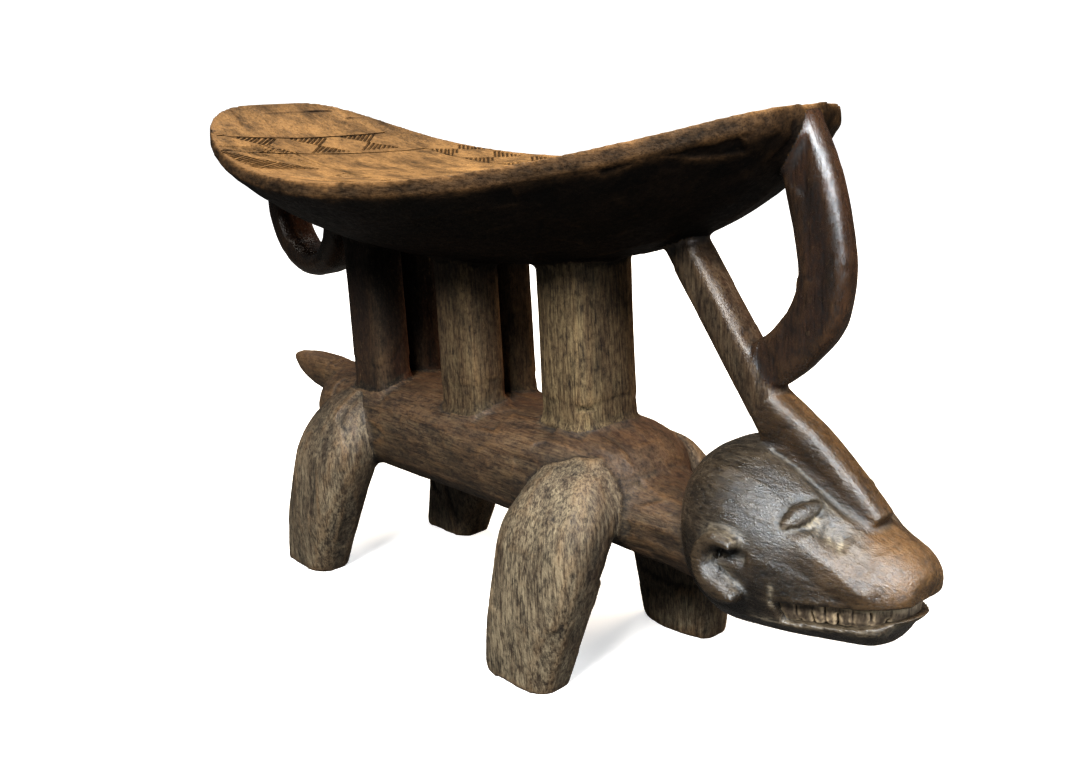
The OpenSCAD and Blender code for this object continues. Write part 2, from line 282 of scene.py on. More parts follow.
# %% Press long flats into the skin
def flats(places, direction, chosen, size, long, depth, keep, seed):
    """size is a cut's width, long its length over its width, depth the most that a point may move."""
    rng = np.random.default_rng(seed)
    squeeze = np.ones(3)
    squeeze["xyz".index(long[0])] = 1 / long[1]
    where = np.flatnonzero(chosen)
    cell = np.floor(places[where] * squeeze / size + rng.random(3)).astype(np.int64)
    _, first = np.unique(cell @ np.array([1, 4096, 4096 ** 2]), return_index=True)
    seeds = where[first]
    near = kdtree.KDTree(len(seeds))
    for i, place in enumerate(places[seeds] * squeeze):
        near.insert(place, i)
    near.balance()
    own = seeds[np.array([near.find(place)[1] for place in places[where] * squeeze])]
    tilt = direction[own] + noise(places[own], 3 * MM, seed)[:, None] * 0.03
    tilt /= np.linalg.norm(tilt, axis=1, keepdims=True)
    gap = ((places[own] - places[where]) * tilt).sum(axis=1)
    places = places.copy()
    places[where] += tilt * (depth * np.tanh(gap / depth))[:, None] * keep
    return places


soft_normals = relax(normals(skin, quads), edges, WIDE)
soft_normals /= np.linalg.norm(soft_normals, axis=1, keepdims=True)
STRUTS = is_on("strut", "front_handle", "rear_handle")
CUTS = (
    (LEGS, 17, ("z", 2.6), 1.1, 0.8, 1),
    (LEGS, 8, ("z", 3), 0.4, 0.5, 11),
    (POSTS, 12, ("z", 4), 0.35, 0.6, 2),
    (BODY, 14, ("x", 2), 0.6, 0.65, 3),
    (BODY, 7, ("x", 2.6), 0.3, 0.5, 13),
    (SEAT, 13, ("x", 2.0), 0.5, 0.6, 4),
    (STRUTS, 8, ("z", 3), 0.4, 0.65, 5),
    (HEAD, 12, ("x", 1.5), 0.25, 0.45, 6),
)
sharp_rim = relax(ramp(-hollow(skin, quads, edges, WIDE), 0.1 * MM, 0.3 * MM)[:, None], edges, 4)[:, 0] > 0.3
for chosen, size, long, depth, keep, seed in CUTS:
    chosen = chosen & ~(SEAT & sharp_rim)
    skin = flats(skin, soft_normals, chosen, size * MM, long, depth * MM, keep, seed)
skin = relax(skin, edges, 1, 0.7)
print("cut", len(CUTS), "groups of flats")

# %% [markdown]
# ## Cuts with a name
# The rest of the carving is a list of single strokes: grooves, ridges and dents. Each works out how far
# every point is from a line, and pushes the points close to it in or out along their normals. The lines'
# places are read from the frame's boxes, so that they stay on the head if the head changes.

# %% Grooves, ridges and dents
def at(name, along, across, up):
    low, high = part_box(name)
    return np.array([low[k] + (high[k] - low[k]) * t for k, t in enumerate((along, across, up))])


def stroke_distance(places, line):
    best = np.full(len(places), 1.0)
    part = np.zeros(len(places))
    for i, (a, b) in enumerate(zip(line, line[1:])):
        go = b - a
        t = np.clip((places - a) @ go / (go @ go), 0, 1)
        far = np.linalg.norm(places - a - t[:, None] * go, axis=1)
        part = np.where(far < best, (i + t) / (len(line) - 1), part)
        best = np.minimum(best, far)
    return best, part


def stroke(line, width, height, where=None, sharp=False, taper=0.25):
    """Raises (height > 0) or cuts (height < 0) the skin along a line, all sizes in millimetres."""
    global skin
    line = np.array(line)
    reach = width * MM * (1 if sharp else 1.8)
    near = np.all((skin > line.min(axis=0) - reach) & (skin < line.max(axis=0) + reach), axis=1)
    near &= np.ones(len(skin), bool) if where is None else where
    index = np.flatnonzero(near)
    far, part = stroke_distance(skin[index], line)
    far = far / (width * MM)
    shape = np.maximum(1 - far, 0) if sharp else np.exp(-far * far * 1.5) * (far < 1.8)
    ends = np.minimum(ramp(part, 0, taper), ramp(1 - part, 0, taper)) if taper else 1
    skin[index] += facing[index] * (shape * ends * height * MM)[:, None]


# %% [markdown]
# The head gets most of these cuts, and both its sides get the same ones. A place on it is given from the
# middle of the lid or of the ear, so the cuts follow if the parts are moved. Where a knife has slipped or
# a rag has missed, pale dust stays in the line, so those lines are noted for the finish.

# %% Cuts round the lid, the cheek, the nose and the ear
PALE = []                                      # lines along which light dust shows, with width and strength
facing = relax(normals(skin, quads), edges, 6)
facing /= np.linalg.norm(facing, axis=1, keepdims=True)
NEAR, FAR = -1, 1
strokes_made = 0
LID_AXIS = np.array([2.7, 5.4, 2.8])           # from the middle of the lid to its inner corner
BELOW_LID = np.array([3.0, -0.3, -2.4])        # square to that, down the face
only_head = is_on("head")
for side in (NEAR, FAR):
    eye = at("eye_near", 0.5, 0.5, 0.5) * (1, 1 if side == NEAR else -1, 1)
    ear = at("ear_near", 0.5, 0.4, 0.5) * (1, 1 if side == NEAR else -1, 1)

    def by_eye(*place):
        """A place given as millimetres forward, towards the nose, and up from the middle of the lid."""
        return eye + np.array(place) * (1, -side, 1) * MM

    def by_ear(*place):
        return ear + np.array(place) * (1, -side, 1) * MM

    # the socket round the lid, and the lid's slit
    for across, depth in ((BELOW_LID, -1.3), (-BELOW_LID, -1.1)):
        socket = [by_eye(*(place * 1.15)) for place in (-LID_AXIS, across, LID_AXIS)]
        stroke(socket, 2.0, depth, only_head)
    slit = [by_eye(*place) for place in (BELOW_LID * 0.2 - LID_AXIS * 0.9, BELOW_LID * 0.25, LID_AXIS * 0.9)]
    stroke(slit, 0.9, -0.9, sharp=True)
    # the flat cut between the lid and the nose, with the knife's slips across it
    stroke([by_eye(5, 0.5, -2.5), by_eye(9, 2, -4.5), by_eye(13.5, 3.5, -7)], 4.6, -1.7, only_head)
    for forward, inward, up in ((4.5, 2.5, 1), (7.5, 3.5, -1), (10.5, 4.2, -3)):
        slip = [by_eye(forward, inward, up), by_eye(forward + 1, inward - 2.5, up - 5)]
        stroke(slip, 0.8, -0.5, only_head, sharp=True)
        PALE.append((slip, 1.0, 0.9))
    PALE.append(([by_eye(4, 1, -2), by_eye(9, 2, -4.5), by_eye(15, 3.5, -8)], 3.5, 0.5))
    PALE.append(([by_eye(*(LID_AXIS * 1.1)), by_eye(8, 6, 0), by_eye(14, 7, -4)], 1.2, 0.7))
    PALE.append(([by_eye(*(-LID_AXIS)), by_eye(*BELOW_LID), by_eye(*LID_AXIS)], 0.9, 0.6))
    # the cheek's hard edge, from under the lid to the lip
    cheek = [by_eye(-1, -5.3, -4.6), by_eye(9.2, -2.1, -10.4), by_eye(17, 0.1, -16.3), by_eye(23.1, 2, -19.3)]
    stroke(cheek, 6.5, 1.9, only_head, sharp=True, taper=0.2)
    # the cut round the foot of the nose
    nose = [at("nose_ridge", t, 0.5 + side * 0.6, 1 - h) for t, h in ((0.2, 0.46), (0.43, 0.57), (0.87, 0.94))]
    stroke(nose, 1.7, -1.2, only_head, sharp=True, taper=0.12)
    # the ear: a recess under its top point, and the cut that frees its back
    stroke([by_ear(-1, -1, 4.5), by_ear(4, 0, 4), by_ear(10, 1, 3.5)], 2.6, -1.8, only_head, taper=0.1)
    stroke([by_ear(0, 0, 0), by_ear(6, 0, -4), by_ear(11, 1, -7)], 1.5, -1.0, only_head, taper=0.1)
    PALE.append(([by_ear(-6, 0, 10), by_ear(2, 0, 11), by_ear(9, 0, 9)], 2.4, 0.8))
    PALE.append(([by_ear(-4, 0, 3), by_ear(1, 0, 1), by_ear(8, 0, -5)], 1.4, 0.6))
    back = [by_ear(-10, 1, 4), by_ear(-10.5, 1, -5), by_ear(-5, 1, -13), by_ear(6, 2, -15)]
    stroke(back, 1.8, -1.2, only_head)
    strokes_made += 12
print("strokes on the head:", strokes_made)

# %% [markdown]
# The lips are edges that were cut thin: the upper one overhangs the teeth, the lower one is a rounded
# band. A groove behind each turns the end of the mouth into a corner that runs on into the cheek.

# %% Lips, mouth corners and the nose's end
jaw_low, jaw_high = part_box("jaw")
lift = ramp(skin[:, 0], jaw_low[0] + 0.5 * (jaw_high[0] - jaw_low[0]), jaw_high[0]) ** 1.5
lift *= ramp(skin[:, 2], jaw_low[2] + 1 * MM, jaw_high[2] - 1 * MM)
skin[:, 2] += np.where(is_on("jaw"), lift * 3.2 * MM, 0)
for side in (NEAR, FAR):
    def lip(along, out, up):
        """A place on the mouth: a share of the jaw's length, then millimetres out and up from the lower lip."""
        edge = at("jaw", along, 0, 1) - (0, 0, 4.2 * MM * (1 - along))
        return np.array([edge[0], side * out * MM, edge[2] + up * MM])

    upper = [lip(-0.05, 21, 8), lip(0.3, 18.5, 8), lip(0.7, 13.5, 8), lip(0.95, 6, 8)]
    stroke(upper, 1.6, 0.6, is_on("head"))
    stroke([lip(-0.3, 23, 9), lip(-0.1, 22, 7.5), lip(0.08, 20, 6.5)], 1.3, -1.2, sharp=True, taper=0.3)
    stroke([lip(-0.25, 22, 0), lip(-0.1, 21.5, 0), lip(0.05, 20, 0)], 1.2, -0.9, sharp=True, taper=0.3)
    PALE.append(([place + (0, 0, 0.5 * MM) for place in upper], 0.7, 0.5))
    band = [lip(0.0, 20, -1.5), lip(0.3, 18, -1.5), lip(0.7, 13.5, -1.5), lip(0.95, 6, -1)]
    stroke(band, 1.8, 0.6, is_on("jaw"))
    groove = [lip(-0.02, 20, -5), lip(0.3, 17.5, -5), lip(0.7, 12.5, -5), lip(0.95, 5, -4)]
    stroke(groove, 1.6, -0.5, is_on("jaw"))
    PALE.append(([lip(-0.3, 23, 9), lip(-0.1, 22, 7.5), lip(0.08, 20, 6.5)], 1.0, 1.0))
    rubbed = [lip(-0.2, 22, 0), lip(0.1, 20, -1), lip(0.4, 17.5, -1), lip(0.7, 13.5, -1), lip(1.0, 3, -1)]
    PALE.append((rubbed, 2.6, 1.0))
cheek_scratch = [at("head", 0.56, 0.06, 0.4), at("head", 0.55, 0.08, 0.29)]
PALE.append((cheek_scratch, 0.8, 1))
stroke(cheek_scratch, 0.8, -0.7, sharp=True)
tip = at("nose_ridge", 1, 0.5, 0)
stroke([tip + np.array([-1.5, -6, 2]) * MM, tip + np.array([1, 0, 1]) * MM, tip + np.array([-1.5, 6, 2]) * MM],
       1.8, -0.9, is_on("head"), taper=0)

# %% [markdown]
# ## Age
# Old wood splits along its grain and loses chips at its edges. Thin sharp strokes make the splits at the
# foot of the front post, and where noise is high on an outer edge the edge drops back a little.

# %% Splits and chips
post_foot = at("post_front", 0.5, 0.5, 0.06)
for x0, y0, x1, y1, z in ((-13, -13, -3, -15.5, 1), (-2, -15.5, 9, -15, 2.5), (8, -15, 13, -9, 4)):
    split = np.array([[x0, y0, z], [(x0 + x1) / 2, (y0 + y1) / 2 - 0.4, z + 1.2], [x1, y1, z + 0.4]])
    stroke(post_foot + split * MM, 1.0, -0.9, sharp=True, taper=0.2)
for name, across, tall in (("leg_near_front", -7, 20), ("leg_near_rear", 2, 14), ("leg_near_front", 5, 12)):
    low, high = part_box(name)
    foot = np.array([(low[0] + high[0]) / 2 - 8 * MM + across * MM, low[1] - 0.5 * MM, 2 * MM])
    split = np.array([[0, 0, 0], [1, 0, tall * 0.6], [0.5, 0, tall]])
    stroke(foot + split * MM, 0.8, -0.6, sharp=True)

wear_raw = -hollow(skin, quads, edges, WIDE)
edge_now = ramp(wear_raw, 0.12 * MM, 0.5 * MM)
chips = ramp(clouds(skin, 7 * MM, 31), 0.35, 0.6) * edge_now
rim_rear = ramp(-skin[:, 0], 20 * MM, 120 * MM) * (skin[:, 1] < 0) * SEAT
lumps = clouds(skin, 16 * MM, 11) * 0.14 + clouds(skin, 3 * MM, 21) * 0.05
lumps *= np.where(HEAD, 0.5, 1)
facing = normals(skin, quads)
skin += facing * (lumps * MM - chips * MM * (0.35 + 0.9 * rim_rear))[:, None]
skin[:, 2] = np.maximum(skin[:, 2], 0)
print("chipped points:", int((chips > 0.3).sum()))

# %% [markdown]
# ## What the finish needs to know
# Dust settles in hollows and low down; hands polish the edges. Light and shade are painted in with them:
# the near and front sides are painted paler as a painted light, the faces towards the far side, the body's
# tops and the handles' fronts are painted red as a painted warm light, and the posts are painted darker under
# the hull and towards the rear as a painted shade. All are worked out here from places and facings, and
# saved on the points as a colour attribute: red is dust with painted light, green is wear, blue is warm
# colour with painted warm light, alpha is grime with painted shade.

# %% Dust, wear, warm colour and grime, with painted light and shade
facing = normals(skin, quads)
smooth_facing = relax(facing, edges, WIDE)
smooth_facing /= np.linalg.norm(smooth_facing, axis=1, keepdims=True)
bend = hollow(skin, quads, edges, WIDE)
fine = hollow(skin, quads, edges, 6)
wear = ramp(-bend, 0.06 * MM, 0.35 * MM) * 0.8 + ramp(-fine, 0.01 * MM, 0.06 * MM) * 0.3
wear = relax(wear[:, None], edges, 2)[:, 0]
in_pit = ramp(bend, 0.05 * MM, 0.35 * MM)
in_line = ramp(fine, 0.015 * MM, 0.09 * MM)
height = skin[:, 2]
patches = clouds(skin, 26 * MM, 51) * 0.5 + 0.5
side_near = ramp(-smooth_facing[:, 1], 0.0, 0.8)
side_far = ramp(smooth_facing[:, 1], -0.1, 0.7)
front = ramp(smooth_facing[:, 0], 0.2, 0.9)
up = ramp(smooth_facing[:, 2], 0.1, 0.9)

print("points in hollows:", int((in_pit > 0.5).sum()))

# %% [markdown]
# Each mark starts from a small even amount, and every form adds its own share. The near posts and legs
# are dustier than the seat, the struts and the handles, which are handled, and their near and front sides
# are painted paler still, as a painted light; the posts are painted darker towards the rear and under the
# hull, as a painted shade; the seat's rubbed top is the warmest place of all.

# %% Dust, wear and painted light
dust_and_light = 0.05 + 0.3 * patches
# painted light: the near and front sides of the posts, legs and body, and most of all the near front leg, are
# painted paler where the lamps light them; painted shade: the posts are painted less pale towards the rear
dust_and_light += np.where(POSTS, 0.38 * side_near + 0.2 * front, 0)
dust_and_light += np.where(LEGS, 0.2 * side_near + 0.25 * ramp(height, 75 * MM, 5 * MM) + 0.15 * front, 0)
dust_and_light += np.where(BODY, 0.12 * side_near, 0)
rearward = ramp(-skin[:, 0], -25 * MM, 75 * MM)
under_hull = ramp(height, 95 * MM, 142 * MM)
dust_and_light -= np.where(POSTS, 0.5 * rearward, 0)
dust_and_light += np.where(is_on("leg_near_front"), 0.25 * side_near + 0.1, 0)
dust_and_light -= np.where(SEAT | HANDLES, 0.3, 0)
dust_and_light += np.where(HEAD, 0.1 * up - 0.12, 0)
brim = relax(facing, edges, 3)[:, 2]
# painted highlight: the near side of the seat's rim, which faces a little down, is painted paler as the lit
# band along it
dust_and_light += np.where(SEAT, 0.7 * side_near * ramp(brim, -0.4, -0.1), 0)
dust_and_light += np.where(is_on("strut"), 0.55, 0)
dust_and_light += 0.3 * in_pit * np.where(POSTS | BODY | HEAD, 1, 0.3)
seat_top = SEAT * ramp(brim, 0.68, 0.82)
wear = np.where(SEAT, wear * (0.4 + 0.8 * ramp(brim, 0.1, 0.6)), wear)
print("mean dust %.2f, mean wear %.2f" % (dust_and_light.mean(), wear.mean()))

# %% Warm colour with painted warm light, grime with painted shade
# painted warm light: the faces towards the far side, the body's tops, the handles' fronts and the rear posts
# are painted red, as a warm lamp would light them; the muzzle's ochre and the seat's rubbed top are their own
# colour, but the muzzle is painted warmer on its front and top faces as painted light
warm = 0.1 + 0.45 * side_far + 0.2 * patches
muzzle = HEAD * ramp(skin[:, 0], 146 * MM, 164 * MM) * ramp(skin[:, 2], 50 * MM, 64 * MM)
warm += np.where(BODY, 0.25 * up, 0) + np.where(HANDLES, 0.35 * front, 0)
warm = np.where(HEAD, 0.1 * patches + muzzle * (0.3 + 0.6 * front + 0.4 * up), warm)
warm = np.where(SEAT, 0.12 * side_far + seat_top * (0.75 + 0.3 * patches), warm)
warm += np.where(POSTS, 0.2 * rearward, 0)
# painted shade: the posts are painted darker under the hull and towards the rear, where the hull shades them
painted_shade_on_posts = np.where(POSTS, under_hull * (0.35 + 0.65 * front) * (0.35 + 0.65 * rearward) + 0.65 * rearward, 0)
grime_and_shade = 0.85 * painted_shade_on_posts + 0.45 * in_pit * np.where(HEAD, 0.4, 1) + 0.3 * in_line
print("mean warmth %.2f, mean grime %.2f" % (warm.mean(), grime_and_shade.mean()))

# %% [markdown]
# The noted lines come last. They push the red channel past one, and the material shows whatever lies
# above one as chalk-pale dust.

# %% Pale lines, and all marks together
flecks = 0.75 + 0.6 * clouds(skin, 2 * MM, 71)
pale = np.zeros(len(skin))
for line, width, strength in PALE:
    line = np.array(line)
    index = np.flatnonzero(np.all((skin > line.min(axis=0) - 3 * width * MM) &
                                  (skin < line.max(axis=0) + 3 * width * MM), axis=1))
    far = stroke_distance(skin[index], line)[0] / (width * MM)
    pale[index] += strength * np.exp(-far * far) * np.clip(flecks[index], 0, 1.2) * 1.2
    grime_and_shade[index] *= 1 - 0.8 * np.exp(-far * far)
marks = np.clip(np.stack([dust_and_light, wear, warm, grime_and_shade], axis=1), 0, 1)
marks[:, 0] += np.clip(pale, 0, 1)
print("mean dust %.2f wear %.2f warmth %.2f grime %.2f" % tuple(marks.mean(axis=0)))

# %% [markdown]
# ## Share the skin out again
# Each part gets the faces that lie nearest to it. A piece cut from a skin is open where its neighbours
# were, so every open edge loop is closed with a fan inside the wood. The corner normals are copied from
# the whole skin, so light runs over the meetings as if there were no cut.

# %% Named, closed pieces
SLOTS = {"seat_panel": "seat_wood", "post": "post_wood", "leg": "body_wood", "trunk": "body_wood",
         "neck": "body_wood", "tail": "body_wood", "head": "head_wood", "jaw": "head_wood", "ear": "head_wood",
         "eye": "head_wood", "nose_ridge": "head_wood", "strut": "handle_wood", "front_handle": "handle_wood",
         "rear_handle": "handle_wood", "teeth": "tooth_wood"}


def finished(name, data, nodes):
    piece = bpy.data.objects.new(name, data)
    bpy.context.scene.collection.objects.link(piece)
    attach(piece, "root")
    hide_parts(*nodes)
    return piece


def largest_part(faces):
    """Only the biggest connected group of faces; the strays are left out."""
    mesh_points = np.unique(faces)
    group = {int(p): int(p) for p in mesh_points}

    def root(p):
        while group[p] != p:
            group[p] = group[group[p]]
            p = group[p]
        return p

    for face in faces.tolist():
        first = root(face[0])
        for p in face[1:]:
            group[root(p)] = first
    roots = np.array([root(p) for p in faces[:, 0].tolist()])
    names, counts = np.unique(roots, return_counts=True)
    return roots == names[counts.argmax()]


def vote(values, faces):
    """The commonest label of each face's four corners."""
    corner = values[faces]
    same = (corner[:, :, None] == corner[:, None, :]).sum(axis=2)
    return corner[np.arange(len(faces)), same.argmax(axis=1)]


# %% [markdown]
# Blender's own hole filling joins two loops that share a point into one bad cap. So each open loop is
# followed by hand: whenever the path comes back to a point it has passed, that ring gets its own fan.

# %% Close the open loops
def close_with_fans(mesh):
    """Follows each open edge loop and joins it to a point at its middle."""
    onward = {}
    for edge in mesh.edges:
        if len(edge.link_faces) == 1:
            loop = edge.link_loops[0]
            onward.setdefault(loop.link_loop_next.vert, []).append(loop.vert)
    path = []
    while onward or path:
        path = path or [next(iter(onward))]
        here = path[-1]
        if here not in onward:
            break
        ahead = onward[here].pop()
        if not onward[here]:
            del onward[here]
        if ahead not in path:
            path.append(ahead)
            continue
        ring, path = path[path.index(ahead):], path[:path.index(ahead) + 1]
        if ahead not in onward:
            path = path[:-1]
        middle = mesh.verts.new(sum((point.co for point in ring), Vector()) / len(ring))
        for a, b in zip(ring, ring[1:] + ring[:1]):
            mesh.faces.new((a, b, middle))


# %% [markdown]
# A border that wanders by one voxel would leave stray faces, so each label is first averaged a little,
# and each face takes the commonest label of its corners.

# %% Share out the faces
shares = np.stack([relax((label == index)[:, None] * 1.0, edges, 5)[:, 0]
                   for index in range(len(CARVED))], axis=1)
face_label = vote(shares.argmax(axis=1), quads)
facing = normals(skin, quads)
pieces = {}
for index, name in enumerate(CARVED):
    chosen = quads[face_label == index]
    keep = largest_part(chosen)
    strays = chosen[~keep]
    chosen = chosen[keep]
    if len(strays):
        print("  strays left by", name, len(strays))
    used, local = np.unique(chosen, return_inverse=True)
    local = local.reshape(-1, 4)
    mesh = bmesh.new()
    points = [mesh.verts.new(place) for place in skin[used]]
    for face in local.tolist():
        mesh.faces.new([points[k] for k in face])
    mesh.verts.index_update()
    close_with_fans(mesh)
    count = len(local)
    data = bpy.data.meshes.new("worn_" + name)
    mesh.to_mesh(data)
    mesh.free()
    data.shade_smooth()
    pieces[name] = (data, used, count)
    print("  %-18s %6d faces" % (name, len(data.polygons)))

# %% [markdown]
# The marks and the normals go on to the pieces. Custom corner normals keep the shading continuous;
# the fans inside the wood keep their own flat normals, since nobody sees them.

# %% Put marks and normals on the pieces
def add_marks(data, values):
    layer = data.color_attributes.new("marks", "FLOAT_COLOR", "POINT")
    layer.data.foreach_set("color", values.astype(np.float32).ravel())


for name, (data, used, count) in pieces.items():
    values = np.zeros((len(data.vertices), 4))
    values[:len(used)] = marks[used]
    add_marks(data, values)
    data.update()
    corner_point = np.empty(len(data.loops), dtype=np.int64)
    data.loops.foreach_get("vertex_index", corner_point)
    whole_normal = np.zeros((len(data.vertices), 3))
    whole_normal[:len(used)] = facing[used]
    corner_normal = whole_normal[corner_point]
    flat = np.empty(len(data.polygons) * 3)
    data.polygons.foreach_get("normal", flat)
    sides = np.empty(len(data.polygons), dtype=np.int64)
    data.polygons.foreach_get("loop_total", sides)
    own = np.repeat(flat.reshape(-1, 3), sides, axis=0)
    corner_normal[4 * count:] = own[4 * count:]
    if name != "seat_panel":
        data.normals_split_custom_set(corner_normal.tolist())
        finished("worn_" + name, data, [name])
print("pieces made:", len(pieces))

# %% [markdown]
# ## Teeth
# Seventeen small blocks stand in the mouth. They were cut with a knife too, so they are a finer skin of
# their own, eased and a little uneven, and they stay one piece because they are one row.

# %% The row of teeth
tooth_mesh = remeshed(copy_of("teeth"), 0.4 * MM)
tooth_skin, tooth_edges = read_mesh(tooth_mesh)
tooth_skin = relax(tooth_skin, tooth_edges, 5, 0.7)
tooth_faces = read_quads(tooth_mesh)
tooth_skin += normals(tooth_skin, tooth_faces) * 0.2 * MM
tooth_skin += noise(tooth_skin, 1.6 * MM, 3)[:, None] * np.array([0.12, 0.12, 0.12]) * MM
tooth_mesh.vertices.foreach_set("co", tooth_skin.ravel())
tooth_mesh.name = "worn_teeth"
tooth_mesh.shade_smooth()
tooth_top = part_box("teeth")[1][2]
tooth_bend = hollow(tooth_skin, tooth_faces, tooth_edges, 8)
tooth_edge = ramp(-tooth_bend, 0.03 * MM, 0.12 * MM)
gum = ramp(tooth_skin[:, 2], tooth_top - 4.5 * MM, tooth_top - 2 * MM)
gap = ramp(tooth_bend, 0.02 * MM, 0.08 * MM)
tooth_marks = np.stack([0.3 + 0.15 * noise(tooth_skin, 3 * MM, 8) + 1.4 * gum, tooth_edge, gum * 0.2,
                        np.clip(gap * 1.5, 0, 1) * (1 - gum)], axis=1)
add_marks(tooth_mesh, np.clip(tooth_marks, 0, (2, 1, 1, 1)))
finished("worn_teeth", tooth_mesh, ["teeth"])
print("teeth:", len(tooth_mesh.polygons), "faces")

# %% [markdown]
# ## The pattern on the seat
# The seat's dished top is cut with fine V-shaped lines: a plain field with a border of hatched
# hourglasses round it, two triangles tip to tip. Each line is only a millimetre wide, so it has to be real
# geometry to show its dark floor and lit edge. The rule is: lay out the triangles flat, fill each
# with parallel strokes, drop the strokes on to the seat and let Geometry Nodes sweep a square bar along each.

# %% Lay out the lines
PITCH = 1.8                                    # from stroke to stroke, in millimetres
FIELD = (-110, 72, -21, 39)                    # the plain field: rear, front, near and far side
BAND = 22                                      # width of the border across the seat
SIDE_BAND = 19                                 # width of the border along the seat


def hatch(corners, angle):
    """Parallel strokes inside a triangle, as pairs of points."""
    corners = np.array(corners, dtype=float)
    along = np.array([math.cos(angle), math.sin(angle)])
    across = np.array([-along[1], along[0]])
    offsets = corners @ across
    strokes = []
    for step in np.arange(offsets.min() + PITCH * 0.6, offsets.max(), PITCH):
        cuts = []
        for i in range(3):
            a, b = corners[i], corners[(i + 1) % 3]
            if (a @ across - step) * (b @ across - step) < 0:
                t = (step - a @ across) / ((b - a) @ across)
                cuts.append(a + (b - a) * t)
        if len(cuts) == 2 and np.linalg.norm(cuts[0] - cuts[1]) > 1.6:
            strokes.append(cuts)
    return strokes


def hourglasses(start, end, inward, count, angle, flip=True):
    """Hatched triangles, tip to tip, along a band whose outer line runs from start to end."""
    start, end, inward = (np.array(v, dtype=float) for v in (start, end, inward))
    unit = (end - start) / count
    strokes = []
    for k in range(count):
        a = start + unit * (k + 0.08)
        b = start + unit * (k + 0.92)
        tip = (a + b) / 2 + inward * 0.52
        turn = angle if k % 2 == 0 or not flip else -angle
        strokes += hatch([a, b, tip], turn)
        strokes += hatch([a + inward, b + inward, (a + b) / 2 + inward * 0.48], turn)
    return strokes


# %% The hatched border
rear, front_end, near_side, far_side = FIELD
quarter = math.radians(45)
strokes = hourglasses((rear - BAND - 2, 33), (rear - BAND - 7, -40), (BAND, 0), 3, -quarter, flip=False)
strokes += hourglasses((front_end + BAND, 33), (front_end + BAND, -33), (-BAND, 0), 3, quarter, flip=False)
strokes += hourglasses((rear + 4, far_side + SIDE_BAND), (front_end, far_side + SIDE_BAND), (0, -SIDE_BAND),
                       7, -math.radians(38), flip=False)
strokes += hourglasses((rear + 34, near_side - SIDE_BAND - 11), (front_end, near_side - SIDE_BAND - 11),
                       (0, SIDE_BAND + 11), 5, math.radians(40))
strokes += hatch([(rear - 18, near_side - 4), (rear + 22, near_side - 3), (rear - 16, near_side - 30)],
                 math.radians(38))
strokes += hatch([(rear + 26, near_side - 4), (rear - 12, near_side - 32), (rear + 28, near_side - 34)],
                 -math.radians(50))
borders = [
    [(rear - BAND - 1, 36), (rear - BAND - 8, -44)],
    [(rear + 6, far_side), (rear - 5, near_side), (rear - 10, near_side - 30)],
    [(rear + 6, far_side), (front_end - 2, far_side)],
    [(rear - 4, near_side), (front_end - 2, near_side)],
    [(front_end, far_side + 3), (front_end, near_side - 3)],
    [(front_end + BAND + 1, 33), (front_end + BAND + 1, -33)],
]
print(len(strokes), "strokes and", len(borders), "border lines")

# %% [markdown]
# The seat's own mesh is far denser than its smooth top needs, so it is thinned before the cuts go in.
# Then every line is dropped on to it with a ray, and turned into a chain of edges for the node tree.

# %% Thin the seat and drop the lines on to it
seat_data, seat_used, _ = pieces["seat_panel"]
seat = bpy.data.objects.new("seat_rough", seat_data)
bpy.context.scene.collection.objects.link(seat)
thin = seat.modifiers.new("thin", "DECIMATE")
FACES_LEFT = 52000                             # enough for the smooth top, the hull and the rim's chips
thin.ratio = min(1, FACES_LEFT / max(1, len(seat_data.polygons)))
evaluated = seat.evaluated_get(bpy.context.evaluated_depsgraph_get())
thinned = bpy.data.meshes.new_from_object(evaluated)
seat.modifiers.clear()
seat.data = thinned
top = bvhtree.BVHTree.FromPolygons([v.co for v in thinned.vertices], [p.vertices[:] for p in thinned.polygons])
print("seat thinned from", len(seat_data.polygons), "to", len(thinned.polygons), "faces")

# %% From flat lines to chains on the seat
SKY = 0.4                                      # a height above everything, where the rays start
FLAT_ENOUGH = 0.75                             # how upright the seat's normal has to be for a cut


def dropped(points, step):
    """The line's points on the seat, one every few millimetres, or nothing where it leaves the top."""
    chain = []
    for a, b in zip(points, points[1:]):
        a, b = np.array(a, dtype=float), np.array(b, dtype=float)
        count = max(1, int(np.linalg.norm(b - a) / step))
        for k in range(count + int(np.allclose(b, points[-1]))):
            x, y = a + (b - a) * k / count
            hit, normal, _, _ = top.ray_cast(Vector((x * MM, y * MM, SKY)), Vector((0, 0, -1)))
            if hit is not None and normal.z > FLAT_ENOUGH:
                chain.append(hit)
    return chain


def lines_mesh(name, chains):
    mesh = bmesh.new()
    for chain in chains:
        if len(chain) < 2:
            continue
        points = [mesh.verts.new(place) for place in chain]
        for a, b in zip(points, points[1:]):
            mesh.edges.new((a, b))
    data = bpy.data.meshes.new(name)
    mesh.to_mesh(data)
    mesh.free()
    return data


# %% [markdown]
# The tree turns the chains into curves, stands their normals upright and sweeps a four-sided bar along
# them, one corner down, so that what it takes out of the seat is a V. Its width is a named input.

